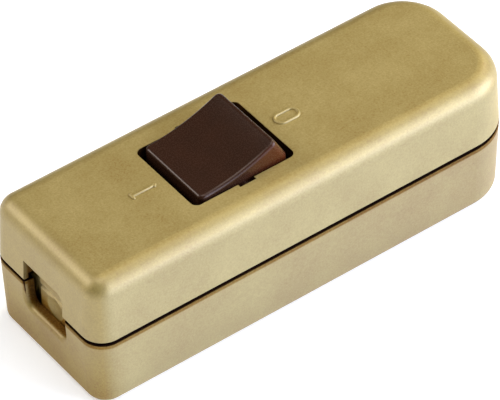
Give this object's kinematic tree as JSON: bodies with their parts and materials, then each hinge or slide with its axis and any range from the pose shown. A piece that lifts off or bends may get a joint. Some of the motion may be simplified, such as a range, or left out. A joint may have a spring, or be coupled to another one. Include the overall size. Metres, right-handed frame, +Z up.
{
  "type": "inline cord switch",
  "caption": "Inline switch for a mains cord: a long drafted box in a lower and an upper shell, cord entries in its ends, and a dark rocker in the top that works a double-pole contact set.",
  "frame": {"origin": "middle of the bottom face", "axes": "+X along the length towards the rounder end, +Y across, +Z up through the rocker"},
  "size_m": [0.083, 0.0286, 0.0289],
  "materials": {
    "gold_plastic": "satin metallic gold paint on moulded plastic",
    "brown_plastic": "dark brown moulded plastic, satin",
    "white_plastic": "natural moulded plastic",
    "spring_steel": "bright drawn wire",
    "brass": "bright stamped brass",
    "silver": "silver contact alloy",
    "zinc_steel": "bright zinc plated"
  },
  "bodies": {
    "housing": {"upper_shell": "gold_plastic", "lower_shell": "gold_plastic", "near_cord_clamp": "gold_plastic", "far_cord_clamp": "gold_plastic", "line_supply_terminal": "brass", "line_load_terminal": "brass", "line_fixed_contact": "silver", "neutral_supply_terminal": "brass", "neutral_load_terminal": "brass", "neutral_fixed_contact": "silver", "earth_terminal": "brass", "terminal_screws": "zinc_steel", "terminal_washers": "zinc_steel", "clamp_screws": "zinc_steel", "housing_screws": "zinc_steel"},
    "rocker": {"rocker": "brown_plastic", "line_spring": "spring_steel", "neutral_spring": "spring_steel"},
    "line_plunger": {"line_plunger": "white_plastic"},
    "line_contact": {"line_contact_blade": "brass", "line_moving_contact": "silver"},
    "neutral_plunger": {"neutral_plunger": "white_plastic"},
    "neutral_contact": {"neutral_contact_blade": "brass", "neutral_moving_contact": "silver"}
  },
  "joints": [
    {"name": "rocker_tilt", "type": "hinge", "parent": "housing", "child": "rocker", "pos_m": [-0.00837, 0, 0.02315], "axis": [0, 1, 0], "range_deg": [0, 28.6]},
    {"name": "line_plunger_slide", "type": "slide", "parent": "rocker", "child": "line_plunger", "axis": [-0.247, 0, 0.969], "range_m": [0, 0.0004], "stiffness_N_per_m": 300, "deforming": ["line_spring"]},
    {"name": "line_contact_tilt", "type": "hinge", "parent": "housing", "child": "line_contact", "pos_m": [-0.00837, -0.0039, 0.0142], "axis": [0, 1, 0], "range_deg": [-8, 0]},
    {"name": "neutral_plunger_slide", "type": "slide", "parent": "rocker", "child": "neutral_plunger", "axis": [-0.247, 0, 0.969], "range_m": [0, 0.0004], "stiffness_N_per_m": 300, "deforming": ["neutral_spring"]},
    {"name": "neutral_contact_tilt", "type": "hinge", "parent": "housing", "child": "neutral_contact", "pos_m": [-0.00837, 0.0039, 0.0142], "axis": [0, 1, 0], "range_deg": [-8, 0]}
  ],
  "couplings": [
    {"joint": "line_contact_tilt", "follows": "rocker_tilt", "ratio": -0.2797},
    {"joint": "neutral_contact_tilt", "follows": "rocker_tilt", "ratio": -0.2797}
  ]
}
